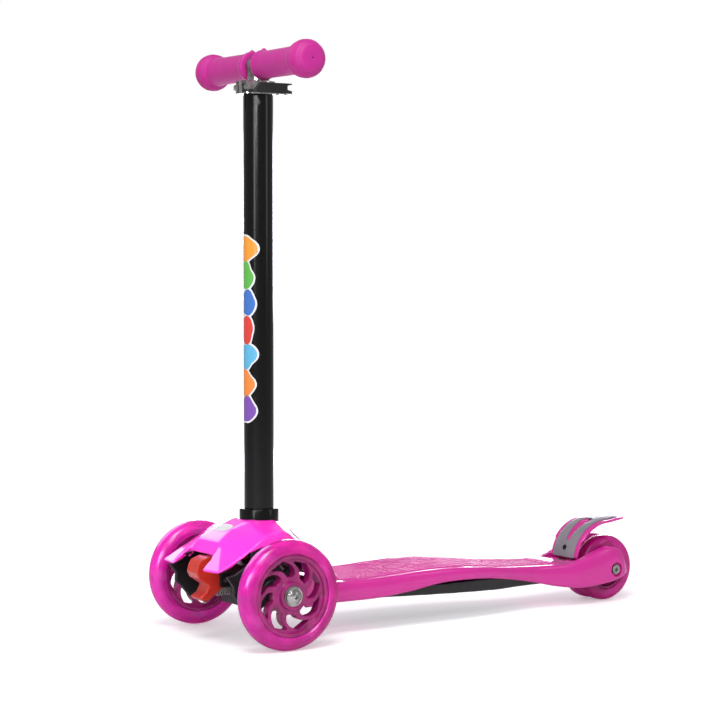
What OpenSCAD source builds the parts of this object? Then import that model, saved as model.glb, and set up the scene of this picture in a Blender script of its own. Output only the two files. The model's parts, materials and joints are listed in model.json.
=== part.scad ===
// Three-wheeled lean-to-steer kick scooter for a small child.
// Frame: +Z up, the scooter travels towards -Y, the rider's left is +X.
// Origin: on the ground, under the middle of the object.

/* [Chassis] */
// Distance between the front axles and the rear axle
wheelbase = 506.6; // [496:0.2:516]
// Distance between the mid planes of the two front wheels
front_track = 205.6; // [203:0.2:210]
// Half width of the deck where it is widest
deck_half_w = 56; // [52:1:58]
// Height of the deck's bottom edge at the front
deck_bottom = 37; // [36:0.5:39]

/* [Wheels] */
// Diameter of a front wheel
front_wheel_d = 120; // [116:1:120]
// Width of a front tyre
front_wheel_w = 25; // [23:0.5:25]
// Diameter of a rear wheel
rear_wheel_d = 80; // [76:1:80]
// Width of one of the two rear tyres
rear_wheel_w = 22; // [18:0.5:22]
// Number of curved spokes in a front wheel
spoke_count = 8; // [6:1:10]

/* [Steering] */
// Forward lean of the kingpins, which makes the scooter steer when it leans
rake = 40; // [35:1:42]
// Distance of each kingpin from the middle
kingpin_x = 46; // [45:0.5:47]

/* [T-bar] */
// Distance of the T-bar's axis behind the front axles
bar_back = 23.6; // [22:0.2:25]
// Outer diameter of the lower tube
tube_d = 33.2; // [33:0.1:33.4]
// Outer diameter of the upper tube
mast_d = 25; // [24.5:0.1:25.2]
// Height of the handlebar's axis above the ground
bar_z = 634.4; // [630:0.2:640]
// Outer diameter of the handlebar tube
crossbar_d = 22; // [20:1:22]
// Overall width of the handlebar over its grips
handle_w = 234; // [228:1:240]

/* [Hidden] */
$fn = 72;

fang_reach = 68;                       // how far the cover's tips stand before the front axles
rear_r = rear_wheel_d / 2;
front_r = front_wheel_d / 2;
axle_y = -(wheelbase + rear_r - fang_reach) / 2;
bar_y = axle_y + bar_back;
rear_y = axle_y + wheelbase;
wheel_x = front_track / 2;
tube_r = tube_d / 2;
bore_r = 15;
mast_r = mast_d / 2;
crossbar_r = crossbar_d / 2;
socket_floor = 52;
tube_top = 615.4;
axle_r = 4;
bolt_r = 3.95;
bearing_r = 11;
bearing_w = 7;
beam_w = 18.4;                         // distance of the kingpin lugs from the axle, along the kingpin
arm_v = 53.5;                          // length of a steering arm
pink = "#e5259b";
magenta = "#c4147f";
black = "#1b1b1e";
steel = "silver";

// ---- helpers ----

function knot(p, i) = p[min(max(i, 0), len(p) - 1)];
function curve_point(a, b, c, d, t) =
    0.5 * (2*b + (c - a)*t + (2*a - 5*b + 4*c - d)*t*t + (3*b - a - 3*c + d)*t*t*t);
// A smooth line through the points p, with the given number of steps between neighbours.
function curve_through(p, steps) = concat(
    [for (i = [0:len(p) - 2]) for (s = [0:steps - 1])
        curve_point(knot(p, i - 1), knot(p, i), knot(p, i + 1), knot(p, i + 2), s / steps)],
    [p[len(p) - 1]]);
function reversed(p) = [for (i = [len(p) - 1:-1:0]) p[i]];
function mirrored(p) = [for (q = p) [-q[0], q[1]]];

// Extrudes a (y, z) outline across the scooter from x0 to x1.
module across(x0, x1) {
    translate([x0, 0, 0])
        rotate([90, 0, 90])
            linear_extrude(x1 - x0) children();
}

// A cylinder along X from x0 to x1.
module rod_x(x0, x1, r) {
    translate([x0, 0, 0])
        rotate([0, 90, 0])
            cylinder(h = x1 - x0, r = r);
}

module front_frame() {
    translate([0, axle_y, front_r]) children();
}

// The raked frame of the kingpins: X across, Y' up the slope behind, Z' along the pins.
module raked_frame() {
    front_frame() rotate([rake, 0, 0]) children();
}

module on_right(flip) {
    if (flip) mirror([1, 0, 0]) children();
    else children();
}

// A box given by its low and high corners.
module block(low, high) {
    translate(low) cube(high - low);
}

// A coil of round wire along Z, from z = 0 to z = h.
module coil(h, r, wire_r, turns) {
    per_turn = 14;
    sides = 6;
    steps = turns * per_turn;
    ring = function (k) let (a = 360 * k / per_turn, z = wire_r + (h - 2*wire_r) * k / steps)
        [for (s = [0:sides - 1]) let (b = 360 * s / sides)
            [(r + wire_r * cos(b)) * cos(a), (r + wire_r * cos(b)) * sin(a), z + wire_r * sin(b)]];
    points = [for (k = [0:steps]) each ring(k)];
    walls = [for (k = [0:steps - 1]) for (s = [0:sides - 1]) let (t = (s + 1) % sides)
        [k*sides + s, (k + 1)*sides + s, (k + 1)*sides + t, k*sides + t]];
    start_cap = [for (s = [0:sides - 1]) s];
    end_cap = [for (s = [sides - 1:-1:0]) steps*sides + s];
    polyhedron(points, concat([start_cap], walls, [end_cap]));
}

module hex_x(x0, x1, across_flats) {
    translate([x0, 0, 0])
        rotate([0, 90, 0])
            cylinder(h = x1 - x0, r = across_flats / sqrt(3), $fn = 6);
}

// ---- deck ----

// Half width of the deck against the distance behind the front axles.
deck_edge = [[deck_half_w, 88], [deck_half_w, 150], [deck_half_w, 205], [54.8, 250], [51.5, 291],
    [46, 326], [40, 355], [36.5, 392], [38, 425], [40.5, 460], [41, 500], [38.5, 520], [34, 529]];
// Top and bottom of the deck's side, as (distance behind the front axles, height).
deck_top = [[88, 60], [150, 60.5], [205, 63], [250, 63.5], [298, 60.5], [345, 55.5], [385, 52.8],
    [412, 52], [438, 52.3], [456, 56], [466, 59.5], [480, 64.8], [492, 67.8], [503, 68], [517, 60],
    [529, 37]];
deck_low = [[88, deck_bottom], [150, 37.5], [190, 41], [240, 47.5], [300, 46.5], [345, 40.5],
    [385, 33], [420, 25.5], [455, 21.5], [490, 24], [512, 28], [529, 34]];
wheel_slot_x = 29.5;
screw_x = [-26, 26];
screw_y = [180, 250, 320];
rib_y = [215, 285];

module deck_plan(inset) {
    side = [for (p = curve_through(deck_edge, 3)) [p[0] - inset, p[1]]];
    polygon(concat(side, reversed(mirrored(side))));
}

module deck_side(drop) {
    top = [for (p = curve_through(deck_top, 3)) [p[0], p[1] - drop]];
    low = drop > 0 ? [[529, 10], [88, 10]] : reversed(curve_through(deck_low, 3));
    polygon(concat(top, low));
}

module deck_form(inset, drop) {
    translate([0, axle_y, 0]) intersection() {
        linear_extrude(90) deck_plan(inset);
        across(-70, 70) deck_side(drop);
    }
}

module deck_board() {
    color(pink) {
        difference() {
            deck_form(0, 0);
            intersection() {
                deck_form(3, 4);
                block([-70, axle_y + 80, 0], [70, axle_y + 408, 90]);
            }
            block([-wheel_slot_x, axle_y + 443, 0], [wheel_slot_x, axle_y + 540, 100]);
            translate([0, rear_y, rear_r]) {
                rod_x(-60, 60, axle_r);
                rod_x(35.5, 60, 9);
                rod_x(-60, -35.5, 9);
            }
            translate([0, axle_y + 452, 47]) rod_x(-37, 37, 3);
        }
        for (x = screw_x, y = screw_y)
            deck_boss(x, y);
        for (y = rib_y)
            block([-44, axle_y + y - 1, 52], [44, axle_y + y + 1, lookup(y, deck_top) - 2]);
    }
}

module deck_boss(x, y) {
    translate([x, axle_y + y, 46]) difference() {
        cylinder(h = lookup(y, deck_top) - 48, r = 5);
        translate([0, 0, -1]) cylinder(h = 7, r = 2);
    }
}

// Height of the underframe's lower face, and of the seats of its screws, at distance y.
function keel_z(y) = lookup(y, [[150, 37.4], [330, 30.6], [396, 30.6]]);
function screw_seat(y) = keel_z(y) + 4;

module deck_underframe() {
    color(black) difference() {
        translate([0, axle_y, 0]) intersection() {
            linear_extrude(60) deck_plan(3.4);
            across(-70, 70) polygon([[146, 40], [150, keel_z(150)], [330, keel_z(330)],
                [396, keel_z(396)], [403, 33], [403, 45], [380, 45.6], [168, 45.6], [146, 45]]);
        }
        translate([0, axle_y, 0]) intersection() {
            linear_extrude(90) deck_plan(7);
            across(-70, 70) polygon([[196, keel_z(196) + 4], [330, keel_z(330) + 4],
                [384, keel_z(384) + 4], [384, 90], [196, 90]]);
            difference() {
                block([-70, 100, 0], [70, 400, 90]);
                for (x = screw_x, y = screw_y)
                    translate([x, y, 0]) cylinder(h = 80, r = 6);
                for (y = [215, 285, 350])
                    block([-60, y - 1.5, 0], [60, y + 1.5, 80]);
            }
        }
        for (x = screw_x, y = screw_y)
            translate([x, axle_y + y, 0]) {
                cylinder(h = 60, r = 2);
                cylinder(h = screw_seat(y), r = 4.5);
            }
    }
}

module underframe_screws() {
    color(steel)
        for (x = screw_x, y = screw_y)
            translate([x, axle_y + y, 0]) difference() {
                union() {
                    translate([0, 0, screw_seat(y)]) cylinder(h = 51.5 - screw_seat(y), r = 2);
                    translate([0, 0, screw_seat(y) - 2.5]) cylinder(h = 2.5, r = 4);
                }
                for (a = [0, 90])
                    rotate([0, 0, a]) translate([-2.4, -0.5, screw_seat(y) - 3.5]) cube([4.8, 1, 2.4]);
            }
}

// ---- front cover ----

cover_wall = 3;

// Moves a corner of the cover inwards by t.
function inset(p, t) = [p[0] - sign(p[0]) * t, p[1] - sign(p[1] - 20) * t, p[2] - t];

// The smallest solid around the given corners and their mirrored twins, moved inwards by t.
module corners(points, t) {
    hull()
        for (p = points, s = [-1, 1])
            let (q = inset(p, t))
                translate([s * q[0], q[1], q[2]]) cube(0.02, center = true);
}

dome_points = [[22, -41, 112], [15, -22, 123.5], [18, 2, 131], [22, 28, 131], [18, 46, 125],
    [60, -2, 119], [62, 20, 121.5], [54, 32, 119], [46, 42, 108], [26, 54, 110],
    [34, -46, 96], [66, -44, 93], [66, 0, 104], [67, 48, 97], [62, 72, 66], [55, 96, 61],
    [55, 96, 36], [64, 48, 36], [60, 0, 36], [34, -40, 60]];
fang_points = [[35, -68, 84], [65, -64, 84], [66, -30, 98], [60, -22, 108], [24, -38, 110],
    [34, -46, 95], [34, -68, 82], [63, -63, 82], [64, -46, 88], [36, -46, 88]];

module cover_form(t) {
    front = axle_y;
    translate([0, front, 0]) {
        corners(dome_points, t);
        for (s = [0, 1])
            on_right(s == 1) hull()
                for (p = fang_points)
                    translate([p[0] - sign(p[0] - 50) * t, p[1] + t, p[2] - t])
                        cube(0.02, center = true);
    }
}

// The side opening round a front wheel, as a (y, z) outline.
arch = [[-80, 60], [-66, 81.8], [-47, 88], [-41, 93], [-26, 102], [-10, 107], [8, 108], [24, 104],
    [36, 94], [43, 78], [44, 58], [44, 20], [-80, 20]];

module front_cover() {
    color(pink) difference() {
        cover_form(0);
        cover_form(cover_wall);
        translate([0, axle_y, 0]) {
            across(-90, 90) polygon(arch);
            block([-33, -90, 20], [33, -30, 96]);
            block([-51.5, 76, 30], [51.5, 110, 62]);
            block([-70, 87.7, 30], [70, 110, 62]);
            translate([0, bar_back, 100]) cylinder(h = 50, r = 22.2);
            block([-70, -90, 0], [70, 120, 37]);
        }
    }
}

// ---- steering housing ----

module steering_housing() {
    color(black) {
        difference() {
            union() {
                translate([0, axle_y, 0]) {
                    block([-24, -12, 38], [24, 4, 83]);
                    block([-24, 3, 38], [24, 48, 70]);
                    block([-40, 40, 38], [40, 136, 44]);
                    block([-3, 40, 43], [3, 86, 52]);
                }
                raked_frame() {
                    for (w = [beam_w, -beam_w - 6.6]) {
                        block([-kingpin_x, -7, w], [kingpin_x, 7, w + 6.6]);
                        for (s = [-1, 1])
                            translate([s * kingpin_x, 0, w]) cylinder(h = 6.6, r = 9);
                    }
                    for (s = [-1, 1]) {
                        block([s * 25 - 3, 30, -29], [s * 25 + 3, 46, -18]);
                        block([s * 26 - 2, 44, -28.5], [s * 26 + 2, 58.5, -18.5]);
                    }
                }
                for (s = [-1, 1])
                    translate([0, axle_y, 0])
                        block([s * 14.1 - 1.9, -34, 60], [s * 14.1 + 1.9, -8, 75]);
            }
            translate([0, bar_y, 48]) cylinder(h = 100, r = 20);
            translate([0, axle_y - 29, 67]) rod_x(-20, 20, 2.5);
            raked_frame()
                for (s = [-1, 1])
                    translate([s * kingpin_x, 0, -40]) cylinder(h = 80, r = axle_r);
            for (x = [-30, 30], y = [72, 122])
                translate([x, axle_y + y, 30]) cylinder(h = 20, r = 2.5);
        }
    }
}

module bar_socket() {
    color(black) translate([0, bar_y, 0]) difference() {
        union() {
            translate([0, 0, 48]) cylinder(h = 78, r = 20);
            translate([0, 0, 124]) cylinder(h = 17.5, r = 22);
            translate([0, 0, 141.5]) cylinder(h = 1.5, r1 = 22, r2 = 20.5);
        }
        translate([0, 0, socket_floor]) cylinder(h = 100, r = tube_r + 0.08);
        block([-7, -30, 84], [7, -10, 101]);
    }
}

module kingpins() {
    color(steel) raked_frame()
        for (s = [-1, 1])
            translate([s * kingpin_x, 0, 0]) {
                translate([0, 0, -29.5]) cylinder(h = 56, r = axle_r);
                translate([0, 0, 25]) cylinder(h = 4, r = 6.5);
            }
}

module kingpin_nuts() {
    color(steel) raked_frame()
        for (s = [-1, 1])
            translate([s * kingpin_x, 0, -29]) difference() {
                cylinder(h = 4, r = 7, $fn = 6);
                translate([0, 0, -1]) cylinder(h = 6, r = axle_r);
            }
}

module centring_springs() {
    color(steel) raked_frame()
        for (s = [-1, 1])
            translate([s * 3.1, arm_v, -23.5]) rotate([0, s * 90, 0]) coil(20.8, 3.6, 0.7, 6);
}

module housing_screws() {
    color(steel)
        for (x = [-30, 30], y = [72, 122])
            translate([x, axle_y + y, 0]) {
                translate([0, 0, 37.9]) cylinder(h = 9, r = 2.5);
                translate([0, 0, 35]) cylinder(h = 3, r = 5);
            }
}

module release_pin() {
    color(steel) translate([0, axle_y - 29, 67]) rod_x(-16.5, 16.5, 2.45);
}

module release_spring() {
    color(steel) translate([0, axle_y - 12.1, 52]) rotate([90, 0, 0]) coil(20.2, 3.6, 0.6, 6);
}

// ---- knuckles ----

// Side view of the bracket that carries a front wheel.
bracket = [[-56, 79], [-47, 67], [-47.5, 58], [-40, 51], [-29, 38], [-18, 37.5], [-6, 46], [14, 46],
    [24, 56], [24, 68], [12, 84], [-12, 94], [-34, 88], [-46, 81]];

module knuckle(flip) {
    color(black) on_right(flip) difference() {
        union() {
            translate([0, axle_y, 0]) across(64, 69) polygon(bracket);
            front_frame() rod_x(60, wheel_x - front_wheel_w / 2 - 0.3, 11);
            raked_frame() translate([kingpin_x, 0, 0]) {
                translate([0, 0, -18]) cylinder(h = 36, r = 8.8);
                for (w = [-18, 9.5])
                    block([0, -8, w], [20, 8, w + 8.5]);
                block([-4, 0, -11.5], [4, arm_v, -6]);
                translate([0, arm_v, -11.5]) cylinder(h = 5.5, r = 5);
                translate([0, arm_v, -17.5]) cylinder(h = 7, r = 3);
            }
        }
        raked_frame() translate([kingpin_x, 0, -30]) cylinder(h = 60, r = axle_r + 0.06);
        front_frame() {
            rod_x(50, 100, bolt_r);
            hex_x(56, 64, 13.4);
            rod_x(50, 60.5, 8.4);
        }
    }
}

module knuckle_left() { knuckle(false); }
module knuckle_right() { knuckle(true); }

module front_axle_bolt(flip) {
    color(steel) on_right(flip) front_frame() difference() {
        union() {
            rod_x(57, wheel_x + 13, bolt_r);
            rod_x(wheel_x + 12.8, wheel_x + 14.3, 9.5);
            translate([wheel_x + 14, 0, 0]) turned_x() dome_profile(8.6, 3.4);
        }
        hex_x(wheel_x + 14.8, wheel_x + 20, 5);
    }
}

module front_axle_bolt_left() { front_axle_bolt(false); }
module front_axle_bolt_right() { front_axle_bolt(true); }

module front_axle_nut(flip) {
    color(steel) on_right(flip) front_frame() difference() {
        hex_x(58.2, 64, 13);
        rod_x(50, 70, bolt_r);
    }
}

module front_axle_nut_left() { front_axle_nut(false); }
module front_axle_nut_right() { front_axle_nut(true); }

module tie_rod() {
    color(steel) raked_frame() difference() {
        union() {
            block([-50.5, 48, -16.5], [50.5, 59, -12]);
            block([-3, 49, -29], [3, 58, -16]);
        }
        for (s = [-1, 1]) {
            translate([s * 50.5, 59, -20]) rotate([0, 0, 45]) cube([3.4, 3.4, 20], center = true);
            translate([s * kingpin_x, 0, -20]) {
                for (v = [-1, 1])
                    translate([0, arm_v - 0.6 + 1.4 * v, 0]) cylinder(h = 12, r = 3.3);
                block([-3.3, arm_v - 2, 0], [3.3, arm_v + 0.8, 12]);
            }
        }
    }
}

// ---- wheels ----

// Rotates a half profile (radius, x) round the X axis.
module turned_x() {
    rotate([0, 90, 0]) rotate_extrude() children();
}

module tyre_profile(r_in, r_out, w, corner) {
    intersection() {
        union() {
            translate([r_in, -w/2]) square([r_out - corner - r_in, w]);
            translate([r_in, -w/2 + corner]) square([r_out - r_in, w - 2*corner]);
            for (s = [-1, 1])
                translate([r_out - corner, s * (w/2 - corner)]) circle(corner);
        }
        translate([r_in, -w/2]) square([r_out - r_in, w]);
    }
}

// A low dome of the given radius and height, as a half profile.
module dome_profile(r, h) {
    ball = (r * r + h * h) / (2 * h);
    intersection() {
        translate([0, h - ball]) circle(ball);
        square([r, h]);
    }
}

light_count = 4;

module light_blocks(x, first) {
    for (k = [0:light_count - 1])
        rotate([first + k * 360 / light_count, 0, 0])
            translate([x - 7, -4.5, 45.2]) cube([14, 9, 5.5]);
}

module front_tyre(flip, first) {
    color(magenta) front_frame() on_right(flip) difference() {
        translate([wheel_x, 0, 0]) turned_x() tyre_profile(45, front_r, front_wheel_w, 11);
        light_blocks(wheel_x, first);
    }
}

module front_tyre_left() { front_tyre(false, 31); }
module front_tyre_right() { front_tyre(true, 0); }

module front_lights(flip, first) {
    color("white") front_frame() on_right(flip) light_blocks(wheel_x, first);
}

module front_lights_left() { front_lights(false, 31); }
module front_lights_right() { front_lights(true, 0); }

// One window between two curved spokes, in the plane of the wheel.
module spoke_window(r0, r1, count, sweep, gap) {
    steps = 6;
    half = function (r) (360 / count - gap * 57.3 / r) / 2;
    edge = function (side) [for (i = [0:steps]) let (r = r0 + (r1 - r0) * i / steps,
        a = sweep * (i / steps) * (i / steps) + side * half(r))
        [r * cos(a), r * sin(a)]];
    polygon(concat(edge(-1), reversed(edge(1))));
}

module front_hub(flip) {
    w = front_wheel_w;
    color(magenta) front_frame() on_right(flip) translate([wheel_x, 0, 0]) difference() {
        turned_x() {
            translate([40, -w/2 + 2]) square([5, w - 4]);
            translate([14, -6]) square([28, 12]);
            translate([6.5, -w/2]) square([8.5, w]);
        }
        for (k = [0:spoke_count - 1])
            rotate([k * 360 / spoke_count, 0, 0]) rotate([0, 90, 0]) translate([0, 0, -20])
                linear_extrude(40) spoke_window(21, 38.5, spoke_count, 32, 7);
        for (s = [-1, 1])
            rod_x(s * w/2 - (s > 0 ? bearing_w : 1), s * w/2 + (s > 0 ? 1 : bearing_w), bearing_r);
    }
}

module front_hub_left() { front_hub(false); }
module front_hub_right() { front_hub(true); }

module bearing(x0) {
    translate([x0 + bearing_w/2, 0, 0]) turned_x() {
        translate([axle_r, -bearing_w/2]) square([2.2, bearing_w]);
        translate([bearing_r - 2.2, -bearing_w/2]) square([2.2, bearing_w]);
        translate([axle_r + 2, -bearing_w/2 + 0.6]) square([bearing_r - axle_r - 4, bearing_w - 1.2]);
    }
}

module bearing_pair(w) {
    bearing(-w/2);
    bearing(w/2 - bearing_w);
}

module front_bearings(flip) {
    color(steel) front_frame() on_right(flip) translate([wheel_x, 0, 0]) bearing_pair(front_wheel_w);
}

module front_bearings_left() { front_bearings(false); }
module front_bearings_right() { front_bearings(true); }

module front_spacer(flip) {
    half = front_wheel_w/2 - bearing_w;
    color(steel) front_frame() on_right(flip) translate([wheel_x, 0, 0]) turned_x()
        translate([axle_r, -half]) square([1.8, 2 * half]);
}

module front_spacer_left() { front_spacer(false); }
module front_spacer_right() { front_spacer(true); }

rear_wheel_x = 1 + rear_wheel_w / 2;

module rear_frame(flip) {
    translate([0, rear_y, rear_r]) on_right(flip) translate([rear_wheel_x, 0, 0]) children();
}

module rear_tyre(flip) {
    color(magenta) rear_frame(flip) turned_x() tyre_profile(26, rear_r, rear_wheel_w, 8.5);
}

module rear_tyre_left() { rear_tyre(false); }
module rear_tyre_right() { rear_tyre(true); }

module rear_hub(flip) {
    w = rear_wheel_w;
    color(magenta) rear_frame(flip) difference() {
        turned_x() {
            translate([23, -w/2 + 2]) square([3, w - 4]);
            translate([13, -4.5]) square([11, 9]);
            translate([6.5, -w/2]) square([7.5, w]);
        }
        for (k = [0:spoke_count - 1])
            rotate([k * 360 / spoke_count, 0, 0]) rotate([0, 90, 0]) translate([0, 0, -20])
                linear_extrude(40) spoke_window(15.5, 22, spoke_count, 14, 4);
        for (s = [-1, 1])
            rod_x(s * w/2 - (s > 0 ? bearing_w : 1), s * w/2 + (s > 0 ? 1 : bearing_w), bearing_r);
    }
}

module rear_hub_left() { rear_hub(false); }
module rear_hub_right() { rear_hub(true); }

module rear_bearings(flip) {
    color(steel) rear_frame(flip) bearing_pair(rear_wheel_w);
}

module rear_bearings_left() { rear_bearings(false); }
module rear_bearings_right() { rear_bearings(true); }

module rear_axle_bolt() {
    color(steel) translate([0, rear_y, rear_r]) {
        rod_x(-41, 36, bolt_r);
        difference() {
            rod_x(35.6, 39.6, 5.8);
            hex_x(37, 41, 4.5);
        }
    }
}

module rear_axle_nut() {
    color(steel) translate([0, rear_y, rear_r]) difference() {
        hex_x(-40.5, -35.5, 13);
        rod_x(-50, 0, bolt_r);
    }
}

module rear_spacers() {
    outer = 1 + rear_wheel_w;
    color(steel) translate([0, rear_y, rear_r]) turned_x() {
        translate([axle_r, -0.8]) square([2.2, 1.6]);
        for (s = [-1, 1])
            translate([axle_r, s > 0 ? outer + 0.2 : -wheel_slot_x])
                square([2.4, wheel_slot_x - outer - 0.2]);
    }
}

// ---- T-bar ----

module outer_tube() {
    color(black) translate([0, bar_y, 0]) difference() {
        translate([0, 0, socket_floor + 0.3]) cylinder(h = tube_top - socket_floor - 0.3, r = tube_r);
        cylinder(h = 700, r = bore_r);
        block([-6, -20, 85], [6, -10, 99]);
        block([-0.8, -20, 585], [0.8, -10, 620]);
        rotate([0, 0, -33]) translate([0, 0, 593]) rod_x(10, 20, 2.5);
    }
}

module guide_rivet() {
    color(steel) translate([0, bar_y, 593]) rotate([0, 0, -33]) {
        rod_x(mast_r - 1, tube_r, 2.5);
        rod_x(tube_r, tube_r + 0.7, 3.6);
    }
}

module guide_bush() {
    color("#e08a2c") translate([0, bar_y, 0]) difference() {
        union() {
            translate([0, 0, tube_top - 10]) cylinder(h = 11, r = bore_r);
            translate([0, 0, tube_top]) cylinder(h = 1.8, r = 15.8);
        }
        cylinder(h = 700, r = mast_r + 0.06);
    }
}

clamp_bolt_y = -21.5;
clamp_z0 = 602.6;
clamp_z1 = 616.8;
lever_x = 16.4;

module clamp_band() {
    mid_z = (clamp_z0 + clamp_z1) / 2;
    color(steel) translate([0, bar_y, 0]) difference() {
        union() {
            translate([0, 0, clamp_z0]) cylinder(h = clamp_z1 - clamp_z0, r = 18.8);
            block([-5, -25.5, clamp_z0], [9, -12, clamp_z1]);
        }
        translate([0, 0, 500]) cylinder(h = 200, r = tube_r);
        block([-1.1, -30, 500], [1.1, -10, 700]);
        translate([0, clamp_bolt_y, mid_z]) {
            rod_x(-30, 30, 2.5);
            rod_x(-30, -5, 5.4);
        }
    }
}

module clamp_bolt() {
    mid_z = (clamp_z0 + clamp_z1) / 2;
    color(steel) translate([0, bar_y + clamp_bolt_y, mid_z]) {
        rod_x(-12.5, 13, 2.45);
        translate([lever_x, 0, -2.9]) difference() {
            cylinder(h = 5.8, r = 5);
            translate([0, 0, -1]) cylinder(h = 9, r = 2.6);
        }
    }
}

module clamp_nut() {
    mid_z = (clamp_z0 + clamp_z1) / 2;
    color(steel) translate([0, bar_y + clamp_bolt_y, mid_z]) difference() {
        union() {
            hex_x(-10.5, -5, 7.5);
            rod_x(-6, -5, 5);
        }
        rod_x(-30, 0, 2.45);
    }
}

module lever_pin() {
    color(steel) translate([lever_x, bar_y + clamp_bolt_y, clamp_z0 + 0.2])
        cylinder(h = clamp_z1 - clamp_z0, r = 2.45);
}

// Plan view of the clamp lever, closed, about the T-bar's axis.
module lever_plan() {
    translate([lever_x, clamp_bolt_y]) circle(6.6);
    polygon([[lever_x + 2, clamp_bolt_y - 6], [24.4, -16], [24.6, 22], [23.6, 30], [20, 30], [19.8, -10],
        [lever_x - 4, clamp_bolt_y + 5]]);
}

module clamp_lever() {
    color(black) translate([0, bar_y, 0]) difference() {
        translate([0, 0, clamp_z0 + 0.6]) linear_extrude(11.4) lever_plan();
        translate([lever_x, clamp_bolt_y, 500]) cylinder(h = 200, r = 2.5);
        across(0, 30) polygon([[-30, 606.3], [-18.5, 606.3], [-7, 619], [-30, 619]]);
        across(0, 30) polygon([[24, 607.4], [31, 606], [31, 613.4], [24, 612]]);
        translate([lever_x, clamp_bolt_y, 606.3]) cylinder(h = 20, r = 7.6);
    }
}

// The bright saddle that turns with the lever and pulls the bolt.
module lever_cam() {
    color(steel) translate([0, bar_y, 0]) difference() {
        union() {
            translate([lever_x, clamp_bolt_y, 613]) cylinder(h = 3.4, r = 6.4);
            across(lever_x, 23.8) polygon([[-27.4, 613], [-13.4, 613], [-10.2, 616.4], [-27.4, 616.4]]);
            across(21.8, 23.8) polygon([[-27.4, 606.4], [-19.4, 606.4], [-10.2, 616.4], [-27.4, 616.4]]);
        }
        translate([lever_x, clamp_bolt_y, 500]) cylinder(h = 200, r = 2.5);
    }
}

module lever_plate() {
    color(steel) translate([0, bar_y, 0]) {
        difference() {
            translate([0, 0, clamp_z0 - 0.7]) linear_extrude(1.3) lever_plan();
            translate([lever_x, clamp_bolt_y, 500]) cylinder(h = 200, r = 2.5);
        }
        for (y = [12, 23])
            translate([22, y, clamp_z0 - 1.7]) cylinder(h = 1.1, r = 1.9);
    }
}

mast_bottom = 300;

module inner_tube() {
    color(steel) translate([0, bar_y, 0]) difference() {
        translate([0, 0, mast_bottom]) cylinder(h = bar_z + 6 - mast_bottom, r = mast_r);
        translate([0, 0, mast_bottom - 1]) cylinder(h = bar_z - 14 - mast_bottom, r = mast_r - 1.5);
        translate([0, 0, bar_z]) rod_x(-20, 20, crossbar_r);
        rotate([0, 0, -33]) block([8, -2.9, 370], [20, 2.9, 603]);
    }
}

module lower_bush() {
    color("#e08a2c") translate([0, bar_y, mast_bottom]) difference() {
        union() {
            translate([0, 0, -6]) cylinder(h = 6, r = bore_r - 0.08);
            cylinder(h = 26, r = mast_r - 1.5);
        }
        translate([0, 0, -7]) cylinder(h = 40, r = 8);
    }
}

module crossbar() {
    end_x = handle_w / 2 - 5;
    color(steel) translate([0, bar_y, bar_z]) difference() {
        rod_x(-end_x, end_x, crossbar_r);
        rod_x(-end_x - 1, end_x + 1, crossbar_r - 1.5);
    }
}

module grip_profile() {
    end_x = handle_w / 2;
    tip = concat([[crossbar_r, 10], [15.6, 10]],
        curve_through([[16.4, 11], [16.8, 13], [16.2, 16.5], [15.4, 20], [15.2, 40], [15.4, 70],
            [16, 84], [17.6, 90], [20, 96], [21, 102], [20.4, 108], [18, end_x - 4], [14, end_x - 0.6],
            [12.4, end_x]], 3),
        [[1, end_x - 1.4], [1, end_x - 4], [crossbar_r, end_x - 4]]);
    polygon(tip);
}

module grip(flip) {
    color(pink) translate([0, bar_y, bar_z]) on_right(flip) difference() {
        union() {
            rotate([0, 90, 0]) rotate_extrude() grip_profile();
            translate([13, 0, 15.6]) sphere(r = 3);
        }
        rod_x(0, handle_w / 2 - 5, crossbar_r);
        translate([0, 0, -40]) cylinder(h = 46.5, r = mast_r + 0.4);
    }
}

module grip_left() { grip(false); }
module grip_right() { grip(true); }

// ---- release lever ----

module release_lever() {
    color("#e8332c") translate([0, axle_y, 0]) {
        difference() {
            across(-11.6, 11.6) polygon([[6.6, 91.5], [-38, 93], [-47, 94], [-57, 90], [-60, 85],
                [-62, 77], [-59, 71], [-46, 62], [-50, 54], [-58, 49], [-53, 45], [-46, 46],
                [-32, 57], [-24, 61], [-23.5, 71], [-31, 77], [-36, 86], [6.6, 87]]);
            translate([0, -29, 67]) rod_x(-20, 20, 2.5);
            for (s = [-1, 1])
                block([s * 8.5 - 3.5, -30, 80], [s * 8.5 + 3.5, 10, 100]);
        }
        for (k = [-1, 0, 1])
            translate([k * 5, -61, 75]) rotate([-16, 0, 0]) block([-1, 0, 0], [1, 3, 9]);
    }
}

// ---- brake ----

brake_pivot = [0, axle_y + 452, 47];
fender_centre = [axle_y + 505, 49.5];

module fender_band(r0, r1, x) {
    across(-x, x) {
        translate(fender_centre) intersection() {
            difference() {
                circle(r1);
                circle(r0);
            }
            polygon([[0, 0], [0, 80], [-80, 80], [-80, 6], [-40, 6]]);
        }
        translate(fender_centre)
            polygon([[-0.1, r0], [-0.1, r1], [23, r1 + 3], [23, r0 + 3.6]]);
    }
}

module brake_fender() {
    color(pink) difference() {
        union() {
            intersection() {
                fender_band(47, 50, 27.5);
                union() {
                    block([-27.5, 0, 76], [27.5, 400, 120]);
                    block([-25, 0, 50], [25, 400, 77]);
                }
            }
            translate(brake_pivot) {
                rod_x(-27.5, -10, 5.6);
                rod_x(10, 27.5, 5.6);
            }
            for (s = [-1, 1])
                block([s * 18 - 7, axle_y + 450, 47], [s * 18 + 7, axle_y + 457, 52.5]);
        }
        translate(brake_pivot) rod_x(-40, 40, 3.05);
        rivet_shanks();
    }
}

// Places its children on the fender's top at the given angle round the wheel, standing outwards.
module on_fender(angle) {
    translate([0, fender_centre[0], fender_centre[1]]) rotate([angle - 90, 0, 0]) children();
}

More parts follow.
